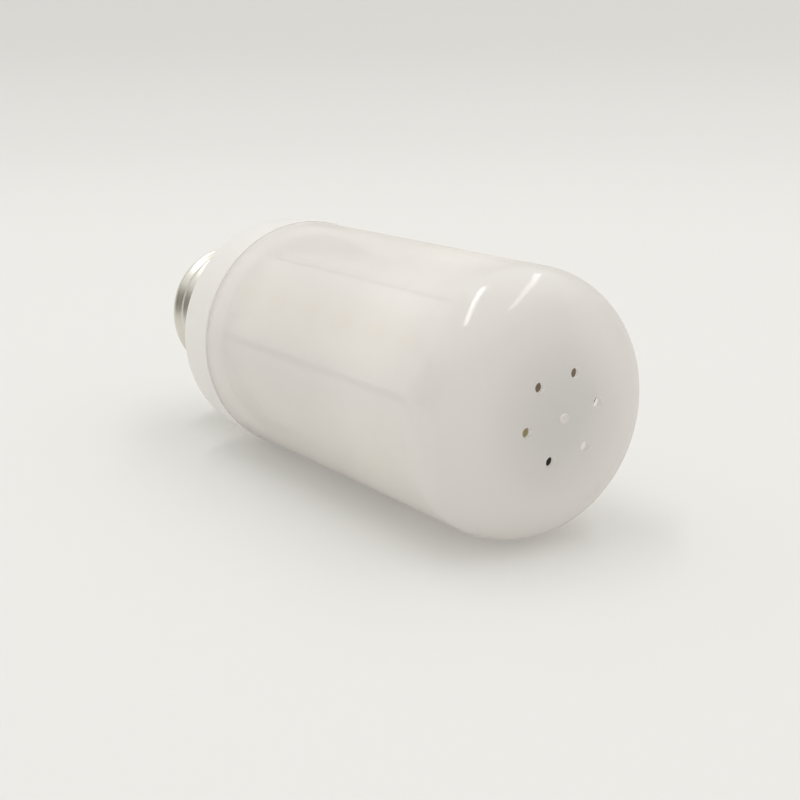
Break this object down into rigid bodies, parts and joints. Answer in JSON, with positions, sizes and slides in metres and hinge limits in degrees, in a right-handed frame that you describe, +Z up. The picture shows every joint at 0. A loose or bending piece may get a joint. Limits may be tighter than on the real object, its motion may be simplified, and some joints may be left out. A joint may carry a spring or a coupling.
{
  "type": "flame effect led bulb",
  "caption": "Flame effect LED bulb with an Edison screw cap, a milky straight-sided cover with a rounded, vented end, and LED strips on a hexagonal drum inside",
  "frame": {"origin": "on the bulb's axis, in the flat back face of the housing where the screw cap begins", "axes": "+X along the bulb's axis toward the dome, +Z up with the bulb on its side as in the picture, +Y to the left seen from the cap"},
  "size_m": [0.1145, 0.0434, 0.0434],
  "materials": {
    "milky_plastic": "milky translucent polycarbonate, glossy outside",
    "white_plastic": "white moulded plastic, satin",
    "nickel_plate": "nickel-plated rolled sheet",
    "black_glass": "black cap glass",
    "tinned_brass": "tin-plated brass with a solder dome",
    "board_white": "white solder mask on laminate",
    "led_package": "yellow phosphor in white packages",
    "screw_steel": "zinc-plated self-tapping screws",
    "board_green": "green solder mask on laminate",
    "capacitor_sleeve": "dark shrink sleeve",
    "ferrite": "dark ferrite spool in shrink sleeve",
    "resistor_body": "green-grey cement coating",
    "chip_mould": "black moulding compound",
    "sensor_can": "gold-washed can",
    "red_wire": "red insulation",
    "black_wire": "black insulation",
    "white_wire": "white insulation"
  },
  "bodies": {
    "root": {"diffuser_cover": "milky_plastic", "base_housing": "white_plastic", "screw_shell": "nickel_plate", "cap_insulator": "black_glass", "centre_contact": "tinned_brass", "base_board": "board_white", "drum_top_plate": "board_white", "led_panel_1": "board_white", "led_panel_2": "board_white", "led_panel_3": "board_white", "led_panel_4": "board_white", "led_panel_5": "board_white", "led_panel_6": "board_white", "led_emitters": "led_package", "board_screws": "screw_steel", "driver_board": "board_green", "smoothing_capacitor": "capacitor_sleeve", "choke": "ferrite", "fuse_resistor": "resistor_body", "driver_chip": "chip_mould", "bridge_rectifier": "chip_mould", "controller_chip": "chip_mould", "tilt_sensor": "sensor_can", "live_wire": "red_wire", "neutral_wire": "black_wire", "supply_wires": "white_wire"}
  },
  "joints": []
}
